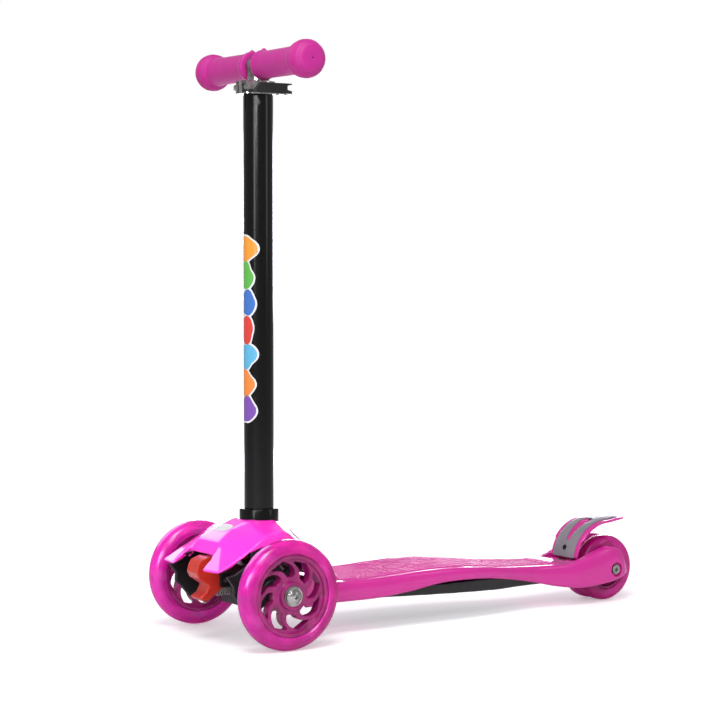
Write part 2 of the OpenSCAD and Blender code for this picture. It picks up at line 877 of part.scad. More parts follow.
rivet_angles = [160, 99];

module rivet_shanks() {
    for (a = rivet_angles)
        on_fender(a) translate([0, 0, 46.6]) cylinder(h = 4.5, r = 1.6);
}

module brake_plate() {
    color("#8d9096") difference() {
        intersection() {
            fender_band(50, 50.9, 20);
            block([-30, 0, 54.5], [30, axle_y + 524, 130]);
        }
        on_fender(126) linear_extrude(60) {
            translate([0, 15]) circle(8);
            translate([0, -17]) circle(3);
            polygon([[-7.9, 14], [7.9, 14], [3, -17.4], [-3, -17.4]]);
        }
        rivet_shanks();
    }
}

module brake_rivets() {
    color(steel) {
        rivet_shanks();
        for (a = rivet_angles)
            on_fender(a) translate([0, 0, 50.9]) cylinder(h = 0.9, r = 3);
    }
}

module brake_pin() {
    color(steel) translate(brake_pivot) rod_x(-36, 36, 3);
}

module brake_spring() {
    color(steel) translate(brake_pivot) translate([-9, 0, 0]) rotate([0, 90, 0]) coil(18, 4.6, 0.8, 6);
}

deck_board();
deck_underframe();
front_cover();
steering_housing();
bar_socket();
kingpins();
kingpin_nuts();
centring_springs();
housing_screws();
underframe_screws();
release_pin();
release_spring();
rear_axle_bolt();
rear_axle_nut();
rear_spacers();
brake_pin();
brake_spring();
knuckle_left();
knuckle_right();
front_axle_bolt_left();
front_axle_bolt_right();
front_axle_nut_left();
front_axle_nut_right();
tie_rod();
front_tyre_left();
front_tyre_right();
front_hub_left();
front_hub_right();
front_bearings_left();
front_bearings_right();
front_spacer_left();
front_spacer_right();
front_lights_left();
front_lights_right();
rear_tyre_left();
rear_tyre_right();
rear_hub_left();
rear_hub_right();
rear_bearings_left();
rear_bearings_right();
outer_tube();
guide_bush();
guide_rivet();
clamp_band();
clamp_bolt();
clamp_nut();
clamp_lever();
lever_cam();
lever_plate();
lever_pin();
inner_tube();
lower_bush();
crossbar();
grip_left();
grip_right();
release_lever();
brake_fender();
brake_plate();
brake_rivets();
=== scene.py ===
"""Looks of a child's three-wheeled kick scooter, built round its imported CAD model.

It is laid out as an add-on: a property group holds the sizes and colours, each piece or group of like
pieces has an operator, and a panel in the sidebar lists them. Sizes in the helpers are in millimetres.
"""
import json
import math

import bpy
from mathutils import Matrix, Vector

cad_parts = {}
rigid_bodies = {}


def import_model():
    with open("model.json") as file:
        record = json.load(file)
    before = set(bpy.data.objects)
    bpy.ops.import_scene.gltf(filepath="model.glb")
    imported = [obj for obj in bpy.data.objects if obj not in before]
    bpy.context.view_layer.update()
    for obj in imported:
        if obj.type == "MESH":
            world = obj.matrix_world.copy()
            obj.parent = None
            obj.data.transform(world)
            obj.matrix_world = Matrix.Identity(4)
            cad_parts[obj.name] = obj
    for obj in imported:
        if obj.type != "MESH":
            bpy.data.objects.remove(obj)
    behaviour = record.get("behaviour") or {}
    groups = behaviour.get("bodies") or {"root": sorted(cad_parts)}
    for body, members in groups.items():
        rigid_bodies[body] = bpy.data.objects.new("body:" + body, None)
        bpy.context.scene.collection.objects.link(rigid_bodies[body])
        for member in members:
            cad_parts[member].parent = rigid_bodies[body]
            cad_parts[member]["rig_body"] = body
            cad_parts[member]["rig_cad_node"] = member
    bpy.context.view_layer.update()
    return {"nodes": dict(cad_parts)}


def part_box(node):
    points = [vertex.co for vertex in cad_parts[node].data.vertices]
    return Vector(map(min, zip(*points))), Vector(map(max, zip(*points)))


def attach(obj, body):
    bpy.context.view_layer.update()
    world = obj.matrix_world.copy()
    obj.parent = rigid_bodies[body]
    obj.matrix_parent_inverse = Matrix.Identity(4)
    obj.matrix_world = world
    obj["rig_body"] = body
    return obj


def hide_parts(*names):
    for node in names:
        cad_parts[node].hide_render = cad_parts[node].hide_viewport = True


bl_info = {
    "name": "Kick scooter pieces",
    "version": (1, 0, 0),
    "blender": (4, 5, 0),
    "location": "3D View > Sidebar > Scooter",
    "description": "Models the visible pieces of a child's kick scooter round its CAD frame",
    "category": "Add Mesh",
}

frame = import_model()
MM = 0.001
MERGE = 0.00001     # points closer than this many metres are one point


# ---- places read from the frame ----

def centre_of(node):
    """The middle of a CAD node's box, in millimetres."""
    low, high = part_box(node)
    return (low + high) * 0.5 / MM


FRONT_AXLE = centre_of("front_tyre_left")
REAR_AXLE = centre_of("rear_tyre_left")
TUBE = centre_of("outer_tube")
BAR = centre_of("crossbar")
AXLE_Y = FRONT_AXLE.y
TUBE_R = (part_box("outer_tube")[1].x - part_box("outer_tube")[0].x) * 0.5 / MM
TYRE_DEPTH = 15     # how far a front tyre stands outside its hub
FRONT_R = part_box("front_hub_left")[1].z / MM + TYRE_DEPTH - FRONT_AXLE.z
REAR_R = REAR_AXLE.z


# ---- small helpers ----

def linear(code):
    """An sRGB hex colour as linear RGBA."""
    def channel(pair):
        value = int(pair, 16) / 255
        return value / 12.92 if value <= 0.04045 else ((value + 0.055) / 1.055) ** 2.4
    return [channel(code[i:i + 2]) for i in (1, 3, 5)] + [1.0]


def clear_selection():
    """Leaves edit mode and deselects everything."""
    if bpy.context.mode != "OBJECT":
        bpy.ops.object.mode_set(mode="OBJECT")
    bpy.ops.object.select_all(action="DESELECT")


def activate(obj):
    """Makes the piece the only one selected, and the active one."""
    clear_selection()
    obj.select_set(True)
    bpy.context.view_layer.objects.active = obj
    return obj


def apply_modifier(obj, kind, **settings):
    """Adds a modifier with its settings and applies it."""
    activate(obj)
    modifier = obj.modifiers.new(kind.title(), kind)
    for key, value in settings.items():
        setattr(modifier, key, value)
    bpy.ops.object.modifier_apply(modifier=modifier.name)
    return obj


def edit_all(obj, *steps):
    """Runs edit-mode operators with every face of the piece selected."""
    activate(obj)
    bpy.ops.object.mode_set(mode="EDIT")
    bpy.ops.mesh.select_all(action="SELECT")
    for step, settings in steps:
        step(**settings)
    bpy.ops.object.mode_set(mode="OBJECT")
    return obj


def tidy_normals(obj):
    """Merges points that lie together and turns every face outwards."""
    return edit_all(obj, (bpy.ops.mesh.remove_doubles, {"threshold": MERGE}),
                    (bpy.ops.mesh.normals_make_consistent, {"inside": False}))


def shade(obj, angle):
    """Smooth shading, with edges sharper than the angle in degrees left crisp."""
    activate(obj)
    bpy.ops.object.shade_smooth_by_angle(angle=math.radians(angle))
    return obj


def joined(name, objects):
    """Joins the objects into one piece with the given name."""
    clear_selection()
    for obj in objects:
        obj.select_set(True)
    bpy.context.view_layer.objects.active = objects[0]
    bpy.ops.object.join()
    objects[0].name = name
    return objects[0]


def from_points(name, points, edges=(), faces=()):
    """A mesh object from points in millimetres."""
    mesh = bpy.data.meshes.new(name)
    mesh.from_pydata([[c * MM for c in p] for p in points], edges, faces)
    obj = bpy.data.objects.new(name, mesh)
    bpy.context.scene.collection.objects.link(obj)
    return obj


def turned(name, profile, centre, steps=96, axis="X"):
    """Spins a closed (radius, distance along) profile round an axis along X or Z through the centre."""
    count = len(profile)
    along = Vector((1, 0, 0)) if axis == "X" else Vector((0, 0, 1))
    out = Vector((0, 0, 1)) if axis == "X" else Vector((0, 1, 0))
    points = [Vector(centre) + along * x + out * r for r, x in profile]
    obj = from_points(name, points, edges=[(i, (i + 1) % count) for i in range(count)])
    edit_all(obj, (bpy.ops.mesh.spin, {"steps": steps, "angle": math.tau,
                                       "center": [c * MM for c in centre], "axis": along}))
    return tidy_normals(obj)


def wrapped_grid(name, columns, rows, place):
    """A grid primitive laid round a form and closed at both ends: place(u, v) is in millimetres."""
    clear_selection()
    bpy.ops.mesh.primitive_grid_add(x_subdivisions=columns, y_subdivisions=rows, size=2)
    obj = bpy.context.object
    obj.name = name
    for vertex in obj.data.vertices:
        u = (vertex.co.x + 1) / 2
        v = (vertex.co.y + 1) / 2
        vertex.co = Vector(place(u, v)) * MM
    edit_all(obj, (bpy.ops.mesh.remove_doubles, {"threshold": MERGE}),
             (bpy.ops.mesh.fill_holes, {"sides": 0}))
    return tidy_normals(obj)


def box_piece(name, low, high, bevel=0, segments=3):
    """A box primitive between two corners in millimetres, with its edges bevelled."""
    clear_selection()
    middle = [(a + b) / 2 * MM for a, b in zip(low, high)]
    bpy.ops.mesh.primitive_cube_add(size=1, location=middle)
    obj = bpy.context.object
    obj.name = name
    obj.scale = [(b - a) * MM for a, b in zip(low, high)]
    bpy.ops.object.transform_apply(location=True, rotation=True, scale=True)
    if bevel:
        edit_all(obj, (bpy.ops.mesh.bevel, {"offset": bevel * MM, "segments": segments,
                                            "affect": "EDGES"}))
    return obj


def rod_piece(name, radius, start, end, sides=64):
    """A cylinder primitive between two points in millimetres."""
    clear_selection()
    a, b = Vector(start) * MM, Vector(end) * MM
    bpy.ops.mesh.primitive_cylinder_add(vertices=sides, radius=radius * MM, depth=(b - a).length,
                                        location=(a + b) / 2,
                                        rotation=(b - a).to_track_quat("Z", "Y").to_euler())
    obj = bpy.context.object
    obj.name = name
    bpy.ops.object.transform_apply(location=True, rotation=True, scale=True)
    return obj


def cut(obj, *cutters):
    """Cuts the cutters out of a piece and removes them."""
    for cutter in cutters:
        apply_modifier(obj, "BOOLEAN", operation="DIFFERENCE", object=cutter, solver="EXACT")
        bpy.data.objects.remove(cutter)
    return obj


def node_copy(node, name):
    """A merged copy of a CAD node's mesh, as a new piece."""
    source = frame["nodes"][node]
    obj = bpy.data.objects.new(name, source.data.copy())
    bpy.context.scene.collection.objects.link(obj)
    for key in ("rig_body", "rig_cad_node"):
        if key in obj:
            del obj[key]
    edit_all(obj, (bpy.ops.mesh.remove_doubles, {"threshold": 0.000005}))
    return obj


def remeshed(obj, voxel, smooth):
    """Voxel remesh and smoothing, which fuses what overlaps and rounds every edge as a mould does."""
    apply_modifier(obj, "REMESH", mode="VOXEL", voxel_size=voxel * MM, use_smooth_shade=True)
    return apply_modifier(obj, "SMOOTH", factor=0.5, iterations=smooth)


def smooth_step(value, start, end):
    """0 before start, 1 after end, and an eased rise between them."""
    t = min(max((value - start) / (end - start), 0), 1)
    return t * t * (3 - 2 * t)


def curve_at(keys, s):
    """A smooth value at s through (s, value) keys, by Catmull-Rom on uneven keys."""
    if s <= keys[0][0]:
        return keys[0][1]
    if s >= keys[-1][0]:
        return keys[-1][1]
    i = max(k for k in range(len(keys) - 1) if keys[k][0] <= s)
    (s0, a), (s1, b) = keys[i], keys[i + 1]
    t = (s - s0) / (s1 - s0)

    def slope(k):
        low, high = max(k - 1, 0), min(k + 1, len(keys) - 1)
        return (keys[high][1] - keys[low][1]) / (keys[high][0] - keys[low][0])
    m0, m1 = slope(i) * (s1 - s0), slope(i + 1) * (s1 - s0)
    return ((2*t**3 - 3*t*t + 1) * a + (t**3 - 2*t*t + t) * m0
            + (3*t*t - 2*t**3) * b + (t**3 - t*t) * m1)


def finish_piece(obj, material, body, slot, *nodes, angle=35):
    """Gives a piece its shading, material and body, and hides the CAD nodes that it stands for; the slot
    argument is not used.
    """
    if not obj.data.polygons:
        raise RuntimeError(f"{obj.name} has no faces")
    shade(obj, angle)
    obj.data.materials.clear()
    obj.data.materials.append(material)
    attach(obj, body)
    if nodes:
        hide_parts(*nodes)


# ---- materials ----

def add_node(tree, kind, settings=None, links=None):
    """Adds a shader node, sets its properties and input values, and links its inputs."""
    node = tree.nodes.new(kind)
    for key, value in (settings or {}).items():
        if isinstance(key, str) and hasattr(node, key):
            setattr(node, key, value)
        else:
            node.inputs[key].default_value = value
    for key, output in (links or {}).items():
        tree.links.new(output, node.inputs[key])
    return node


def new_material(name, colour, **shader):
    """A material with a Principled shader at constant values; returns (material, tree, shader, place)."""
    material = bpy.data.materials.new(name)
    material.use_nodes = True
    tree = material.node_tree
    bsdf = tree.nodes["Principled BSDF"]
    bsdf.inputs["Base Color"].default_value = linear(colour)
    for key, value in shader.items():
        bsdf.inputs[key.replace("_", " ")].default_value = value
    place = add_node(tree, "ShaderNodeTexCoord").outputs["Object"]
    return material, tree, bsdf, place


def noise(tree, place, size, detail=3.0, rough=0.5):
    """Noise with features of the given size in millimetres."""
    return add_node(tree, "ShaderNodeTexNoise", {"Scale": 1 / (size * MM), "Detail": detail,
                                                 "Roughness": rough}, {"Vector": place}).outputs["Fac"]


def spread(tree, value, low, high):
    """Maps a value from its middle range to low..high."""
    return add_node(tree, "ShaderNodeMapRange", {"From Min": 0.3, "From Max": 0.7, "To Min": low,
                                                 "To Max": high}, {"Value": value}).outputs["Result"]


def colour_mix(tree, bsdf, factor, first, second):
    """Drives the base colour between two hex colours."""
    mix = add_node(tree, "ShaderNodeMix", {"data_type": "RGBA"})
    mix.inputs[6].default_value = linear(first)
    mix.inputs[7].default_value = linear(second)
    tree.links.new(factor, mix.inputs[0])
    tree.links.new(mix.outputs[2], bsdf.inputs["Base Color"])


def bump(tree, bsdf, height, depth, strength=1.0):
    """Bump with a depth in millimetres."""
    node = add_node(tree, "ShaderNodeBump", {"Strength": strength, "Distance": depth * MM},
                    {"Height": height})
    tree.links.new(node.outputs["Normal"], bsdf.inputs["Normal"])


def moulded_gloss_abs(name, colour, deep, roughness=0.16, flow=40.0):
    """Injection-moulded gloss ABS: a wet-looking skin with a faint long waviness from the mould's flow
    and a slight change of tone, which break up the highlights."""
    material, tree, bsdf, place = new_material(name, colour, Roughness=roughness, IOR=1.5,
                                               Coat_Weight=0.35, Coat_Roughness=0.08)
    colour_mix(tree, bsdf, spread(tree, noise(tree, place, flow), 0, 1), colour, deep)
    waves = noise(tree, place, 9.0, 2.0)
    tree.links.new(spread(tree, noise(tree, place, 3.0), roughness * 0.8, roughness * 1.35),
                   bsdf.inputs["Roughness"])
    bump(tree, bsdf, waves, 0.12, 0.5)
    return material


def cast_urethane(name, colour, deep, clear):
    """Cast translucent polyurethane: light soaks into it, so thin parts glow and thick parts go deeper,
    and what is moulded into it shows faintly through its skin."""
    material, tree, bsdf, place = new_material(name, colour, Roughness=0.17, IOR=1.49,
                                               Coat_Weight=0.4, Coat_Roughness=0.06,
                                               Subsurface_Weight=0.35, Subsurface_Scale=0.008)
    bsdf.inputs["Subsurface Radius"].default_value = (1.0, 0.25, 0.6)
    colour_mix(tree, bsdf, spread(tree, noise(tree, place, 16.0), 0, 1), colour, deep)
    tree.links.new(spread(tree, noise(tree, place, 2.5), 0.12, 0.26), bsdf.inputs["Roughness"])
    bump(tree, bsdf, noise(tree, place, 7.0, 2.0), 0.12, 0.5)
    through = add_node(tree, "ShaderNodeBsdfTransparent", {"Color": linear("#f27fd0")})
    blend = add_node(tree, "ShaderNodeMixShader", {"Fac": clear})
    tree.links.new(bsdf.outputs["BSDF"], blend.inputs[1])
    tree.links.new(through.outputs["BSDF"], blend.inputs[2])
    tree.links.new(blend.outputs["Shader"], tree.nodes["Material Output"].inputs["Surface"])
    return material


def soft_grip_rubber(name, colour, deep):
    """Soft thermoplastic rubber: a dull, slightly powdery skin with a fine pebble from the tool.
    The pebble is drawn at 0.9 mm, coarser than the real 0.3 mm, so that it shows."""
    material, tree, bsdf, place = new_material(name, colour, Roughness=0.5, IOR=1.5,
                                               Sheen_Weight=0.15, Sheen_Roughness=0.4,
                                               Subsurface_Weight=0.08, Subsurface_Scale=0.002)
    colour_mix(tree, bsdf, spread(tree, noise(tree, place, 14.0), 0, 1), colour, deep)
    tree.links.new(spread(tree, noise(tree, place, 2.0), 0.42, 0.6), bsdf.inputs["Roughness"])
    pebble = add_node(tree, "ShaderNodeTexVoronoi", {"Scale": 1 / (0.9 * MM)}, {"Vector": place})
    bump(tree, bsdf, pebble.outputs["Distance"], 0.06, 0.6)
    return material


def grained_nylon(name, colour, deep, roughness):
    """Glass-filled nylon moulded in a spark-eroded tool: a dark satin skin with a fine even grain.
    The grain is drawn at 1.1 mm, coarser than the real 0.4 mm, so that it shows."""
    material, tree, bsdf, place = new_material(name, colour, Roughness=roughness, IOR=1.53)
    colour_mix(tree, bsdf, spread(tree, noise(tree, place, 22.0), 0, 1), colour, deep)
    tree.links.new(spread(tree, noise(tree, place, 3.0), roughness * 0.85, roughness * 1.2),
                   bsdf.inputs["Roughness"])
    bump(tree, bsdf, noise(tree, place, 1.1, 4.0, 0.6), 0.08, 0.6)
    return material


def powder_coat(name, colour, deep, roughness):
    """Powder-coated steel: an even skin with the faint orange peel of melted powder."""
    material, tree, bsdf, place = new_material(name, colour, Roughness=roughness, IOR=1.36,
                                               Coat_Weight=0.1, Coat_Roughness=0.2)
    colour_mix(tree, bsdf, spread(tree, noise(tree, place, 30.0), 0, 1), colour, deep)
    tree.links.new(spread(tree, noise(tree, place, 5.0), roughness * 0.85, roughness * 1.2),
                   bsdf.inputs["Roughness"])
    bump(tree, bsdf, noise(tree, place, 1.8, 2.0), 0.05, 0.5)
    return material


def plated_steel(name, colour, roughness, brushed):
    """Plated steel: a bright metal skin with fine rub marks that stretch the highlights along the part."""
    material, tree, bsdf, place = new_material(name, colour, Metallic=1.0, Roughness=roughness)
    stretch = add_node(tree, "ShaderNodeMapping", {"Scale": (1, 1, 0.08 if brushed else 0.5)},
                       {"Vector": place}).outputs["Vector"]
    marks = noise(tree, stretch, 0.8 if brushed else 2.5, 4.0, 0.6)
    colour_mix(tree, bsdf, spread(tree, noise(tree, place, 8.0), 0, 1), colour, "#8f8d8a")
    tree.links.new(spread(tree, marks, roughness * 0.6, roughness * 1.7), bsdf.inputs["Roughness"])
    bump(tree, bsdf, marks, 0.02, 0.5)
    return material


def light_module(name):
    """Light block, unlit: a white half painted on as a highlight beside a dark coil, and a faint painted
    glow, so each block shows a bright and a dark half.
    """
    # The emission is a painted glow; the blocks are unlit and give no light.
    material, tree, bsdf, place = new_material(name, "#f4f2f6", Roughness=0.25, IOR=1.5,
                                               Coat_Weight=0.5, Coat_Roughness=0.1,
                                               Emission_Strength=0.25)
    halves = add_node(tree, "ShaderNodeTexVoronoi", {"Scale": 1 / (9 * MM)}, {"Vector": place})
    # The white half is a painted highlight; the other half is dark.
    colour_mix(tree, bsdf, spread(tree, halves.outputs["Distance"], 0, 1), "#ffffff", "#2b2430")
    bump(tree, bsdf, noise(tree, place, 2.0), 0.1, 0.5)
    return material


def printed_vinyl(name, colour, deep):
    """Screen-printed vinyl: flat ink under a satin film, with a little density change in the ink."""
    material, tree, bsdf, place = new_material(name, colour, Roughness=0.32, IOR=1.47,
                                               Coat_Weight=0.3, Coat_Roughness=0.2)
    colour_mix(tree, bsdf, spread(tree, noise(tree, place, 5.0), 0, 1), colour, deep)
    bump(tree, bsdf, noise(tree, place, 1.2, 3.0), 0.015, 0.5)
    return material


MATERIALS = {}


def make_materials(sizes):
    """Makes every finish once, under the short name that the pieces ask for."""
    MATERIALS.update(
        # Wet-looking pink plastic of the deck, cover and brake fender.
        pink=moulded_gloss_abs("moulded_gloss_abs_pink", sizes.pink, "#d22796"),
        # Clear-tinted cast tyres; the light blocks show faintly through them.
        magenta=cast_urethane("cast_urethane_magenta", sizes.magenta, "#b01880", 0.42),
        # Less clear, deeper hubs.
        core=cast_urethane("moulded_clear_nylon_magenta", sizes.core, "#8c1562", 0.2),
        # Dull, warm handles.
        grip=soft_grip_rubber("soft_grip_rubber_pink", sizes.grip, "#b71888"),
        # Satin black working parts.
        black=grained_nylon("grained_nylon_black", "#0d0d10", "#151518", 0.46),
        # Deep black stem with a clean long highlight.
        satin_black=powder_coat("powder_coat_black", "#040405", "#060607", 0.18),
        # Half-gloss red of the release lever, and the amber bushes.
        red=moulded_gloss_abs("moulded_abs_red", sizes.red, "#c8301f", 0.32, 25.0),
        amber=moulded_gloss_abs("turned_acetal_amber", "#dd8434", "#c56c22", 0.3, 12.0),
        # Mirror-bright fittings, duller screws and springs, and the drawn tubes' long marks.
        chrome=plated_steel("chrome_plated_steel", "#d9d9da", 0.14, False),
        zinc=plated_steel("zinc_plated_steel", "#b9b7b2", 0.34, False),
        brushed=plated_steel("drawn_steel_tube", "#c9c8c6", 0.24, True),
        # Even grey plate on the brake.
        plate=powder_coat("powder_coat_grey", "#8f8b92", "#837f88", 0.42),
        # Light blocks, with a painted highlight on half of each and a painted glow.
        light=light_module("light_module_cap"),
        # Clean white ink of the label and of the edges of the printed shapes.
        white=printed_vinyl("printed_vinyl_white", "#efeff1", "#e4e4e8"),
    )


CAD_FINISH = {
    "black": ("steering_housing",),
    "chrome": ("inner_tube", "clamp_band", "clamp_bolt", "clamp_nut", "lever_cam", "lever_plate",
               "lever_pin", "front_axle_bolt_left", "front_axle_bolt_right"),
    "brushed": ("crossbar", "tie_rod"),
    "amber": ("guide_bush", "lower_bush"),
    "satin_black": ("outer_tube", "guide_rivet", "brake_rivets"),
    "zinc": ("kingpins", "kingpin_nuts", "centring_springs", "housing_screws", "underframe_screws",
             "release_pin", "release_spring", "rear_axle_bolt", "rear_axle_nut", "rear_spacers",
             "brake_pin", "brake_spring", "front_axle_nut_left", "front_axle_nut_right",
             "front_bearings_left", "front_bearings_right", "front_spacer_left", "front_spacer_right",
             "rear_bearings_left", "rear_bearings_right"),
}


def finish_cad_nodes():
    """Gives the parts that stay as their CAD model their real material."""
    for finish, nodes in CAD_FINISH.items():
        for node in nodes:
            obj = frame["nodes"][node]
            obj.data.materials.clear()
            obj.data.materials.append(MATERIALS[finish])


# ---- outlines, in millimetres, with y measured from the front axle ----

# The deck's half width, top height and bottom height along y.
DECK_EDGE = ((88, 56), (150, 56), (205, 56), (250, 54.8), (291, 51.5), (326, 46), (355, 40), (392, 36.5),
             (425, 38), (460, 40.5), (500, 41), (520, 38.5), (529, 33))
DECK_TOP = ((88, 60), (150, 60.5), (205, 63), (250, 63.5), (298, 60.5), (345, 55.5), (385, 52.8), (412, 52),
            (438, 52.3), (456, 56), (466, 59.5), (480, 64.8), (492, 67.8), (503, 68), (517, 60), (529, 37))
DECK_LOW = ((88, 37), (150, 37.5), (190, 41), (240, 47.5), (300, 46.5), (345, 40.5), (385, 33), (420, 25.5),
            (455, 21.5), (490, 24), (512, 28), (529, 34))
# Corners of the cover's dome and of one of its two front points, as (x, y, z) on one side.
DOME = ((22, -41, 112), (15, -22, 123.5), (18, 2, 132), (22, 28, 132), (18, 46, 126), (60, -2, 120),
        (62, 20, 122.5), (54, 32, 120), (46, 42, 109), (26, 54, 111), (34, -46, 96), (66, -44, 93),
        (67, 0, 105), (68, 48, 98), (63, 72, 67), (56, 98, 62), (56, 98, 8), (65, 48, 8), (61, 0, 8),
        (34, -40, 8))
FANG = ((35, -68, 84), (65, -64, 84), (66, -30, 98), (60, -22, 108), (24, -38, 110), (34, -46, 95),
        (34, -68, 82), (63, -63, 82), (64, -46, 88), (36, -46, 88))
# The opening through the cover for the steering arms.
ARCH = ((-80, 60), (-66, 81.8), (-47, 88), (-41, 93), (-26, 102), (-10, 107), (8, 108), (24, 104), (36, 94),
        (43, 78), (44, 58), (44, 20), (-80, 20))
# Section of a grip, as (radius, x).
GRIP = ((11, 10), (15, 10), (16, 10.4), (16.6, 11.3), (16.8, 13), (16.4, 15.4), (15.4, 19), (15.2, 24),
        (15.4, 70), (16, 84), (17.6, 90), (20, 96), (21, 102), (20.4, 108), (18, 113), (15.6, 115.6),
        (12.4, 117), (4, 117), (1, 116.6), (1, 113), (11, 113))


def quarter(centre, radius, start, end, steps=8):
    """Points of an arc in the (radius, x) plane; the angles are in degrees from the x axis."""
    return [(centre[0] + radius * math.sin(math.radians(start + (end - start) * i / steps)),
             centre[1] + radius * math.cos(math.radians(start + (end - start) * i / steps)))
            for i in range(steps + 1)]


def tyre_outline(inner, outer, width, corner):
    """Section of a cast tyre with a round crown, as (radius, x) points."""
    half = width / 2
    crown = quarter((outer - corner, half - corner), corner, 0, 90, 12)
    other = [(r, -x) for r, x in reversed(crown)]
    bead = [(inner, -half + 1), (inner, half - 1), (inner + 1, half)]
    return bead + crown + other + [(inner + 1, -half)]


def prism(name, outline, x0, x1):
    """Extrudes a (y, z) outline, measured from the front axle, from x0 to x1."""
    points = [(x0, AXLE_Y + y, z) for y, z in outline]
    obj = from_points(name, points, faces=[list(range(len(points)))])
    edit_all(obj, (bpy.ops.mesh.extrude_region_move,
                   {"TRANSFORM_OT_translate": {"value": ((x1 - x0) * MM, 0, 0)}}))
    return tidy_normals(obj)


def hull_piece(name, points):
    """The convex hull of points measured from the front axle."""
    obj = from_points(name, [(x, AXLE_Y + y, z) for x, y, z in points])
    return edit_all(obj, (bpy.ops.mesh.convex_hull, {}))


# ---- pieces ----

DECK_START, DECK_LENGTH = 88, 441
DECK_COLUMNS, DECK_ROWS = 250, 150
CORNER_COLUMNS = 7
REAR_AXLE_Y, REAR_AXLE_Z = 506.6, 40


def deck_loop(columns):
    """Where each column of the deck's grid lies round its section: (part, amount)."""
    top = int(columns * 0.7)
    corner = CORNER_COLUMNS
    bottom = columns - top - 4 * corner - 2
    loop = [("top", -1 + 2 * i / top) for i in range(top)]
    loop += [("top_corner", 1, i / corner) for i in range(corner)]
    loop += [("side", 1), *[("low_corner", 1, i / corner) for i in range(corner)]]
    loop += [("bottom", 1 - 2 * i / bottom) for i in range(bottom)]
    loop += [("low_corner", -1, 1 - i / corner) for i in range(corner)]
    loop += [("side", -1), *[("top_corner", -1, 1 - i / corner) for i in range(corner)]]
    return loop + [loop[0]]


def make_deck(sizes):
    """The deck with its wavy tread; its fork arms are left by the slot for the rear wheels."""
    loop = deck_loop(DECK_COLUMNS)
    ridge = sizes.tread_height / MM
    pitch = sizes.tread_pitch / MM

    def place(u, v):
        y = DECK_START + DECK_LENGTH * (1 - (1 - v) ** 1.15)    # closer rows towards the tail
        half, top, low = curve_at(DECK_EDGE, y), curve_at(DECK_TOP, y), curve_at(DECK_LOW, y)
        round_top = min(4.2, (top - low) * 0.48)
        round_low = min(3.4, (top - low) * 0.48)
        kind, amount, *turned_by = loop[min(int(round(u * DECK_COLUMNS)), len(loop) - 1)]
        if kind == "top":
            x = amount * (half - round_top)
            # Slow waves along the deck make the ridges wander.
            wave = (math.tau * x / pitch + 2.4 * math.sin(y / 31 + x / 38)
                    + 1.5 * math.sin(y / 57 + 1.7 - x / 61) + 0.7 * math.sin(y / 15 + x / 11))
            inside = (smooth_step(half - 5.5 - abs(x), 0, 3) * smooth_step(y, 100, 110)
                      * (1 - smooth_step(y, 418, 436)))
            return x, AXLE_Y + y, top + ridge * inside * (0.5 + 0.5 * math.sin(wave)) ** 1.5
        if kind == "bottom":
            return amount * (half - round_low), AXLE_Y + y, low
        if kind == "side":
            flank = top - low - round_low - round_top
            return amount * half, AXLE_Y + y, low + round_low + 0.35 * flank
        turn = turned_by[0] * math.pi / 2
        if kind == "top_corner":
            return (amount * (half - round_top + round_top * math.sin(turn)), AXLE_Y + y,
                    top - round_top + round_top * math.cos(turn))
        return (amount * (half - round_low + round_low * math.cos(turn)), AXLE_Y + y,
                low + round_low - round_low * math.sin(turn))

    deck = wrapped_grid("deck", DECK_COLUMNS, DECK_ROWS, place)
    axle = (AXLE_Y + REAR_AXLE_Y, REAR_AXLE_Z)
    cut(deck, box_piece("slot", (-29.5, AXLE_Y + 443, -5), (29.5, AXLE_Y + 560, 95), 5, 4))
    cut(deck, rod_piece("axle_hole", 4.2, (-60, *axle), (60, *axle)))
    for side in (-1, 1):
        cut(deck, rod_piece("recess", 9, (side * 35.5, *axle), (side * 60, *axle)))
    finish_piece(deck, MATERIALS["pink"], "deck", "pink_plastic", "deck_board", angle=40)


def make_underframe():
    keel = remeshed(node_copy("deck_underframe", "underframe"), 1.3, 3)
    finish_piece(keel, MATERIALS["black"], "deck", "black_plastic", "deck_underframe", angle=50)


def make_cover(sizes):
    """The front cover: a rounded dome and two front points, hollowed and cut for what passes through."""
    wall = sizes.cover_wall / MM
    inset = 1.4 * wall      # the smoothing eats into the dome, so the hollow is set in further
    both = (1, -1)
    dome = hull_piece("dome", [(s * x, y, z) for x, y, z in DOME for s in both])
    remeshed(dome, 1.8, 14)
    inner = hull_piece("inner", [(s * (x - inset), y - math.copysign(inset, y - 20), z - inset)
                                 for x, y, z in DOME for s in both])
    fangs = [hull_piece("fang", [(s * x, y, z) for x, y, z in FANG]) for s in both]
    hollows = [hull_piece("hollow", [(s * (x - math.copysign(wall, x - 50)), y + wall, z - wall)
                                     for x, y, z in FANG]) for s in both]
    cover = joined("cover", [dome, *fangs])
    remeshed(cover, 1.2, 3)
    cut(cover, prism("arch", ARCH, -90, 90))
    cut(cover, inner, *hollows)
    cut(cover, box_piece("notch", (-33, AXLE_Y - 92, 5), (33, AXLE_Y - 30, 96), 4))
    cut(cover, box_piece("rear", (-51.5, AXLE_Y + 76, 5), (51.5, AXLE_Y + 120, 62)))
    cut(cover, box_piece("rear_end", (-80, AXLE_Y + 87.7, 5), (80, AXLE_Y + 120, 62)))
    cut(cover, rod_piece("collar", 22.4, (0, TUBE.y, 90), (0, TUBE.y, 150)))
    cut(cover, box_piece("below", (-90, AXLE_Y - 110, -10), (90, AXLE_Y + 130, 37)))
    remeshed(cover, 1.15, 4)
    finish_piece(cover, MATERIALS["pink"], "deck", "pink_plastic", "front_cover", angle=60)


BADGE_HALF = (15, 7)
BADGE_Y = -21


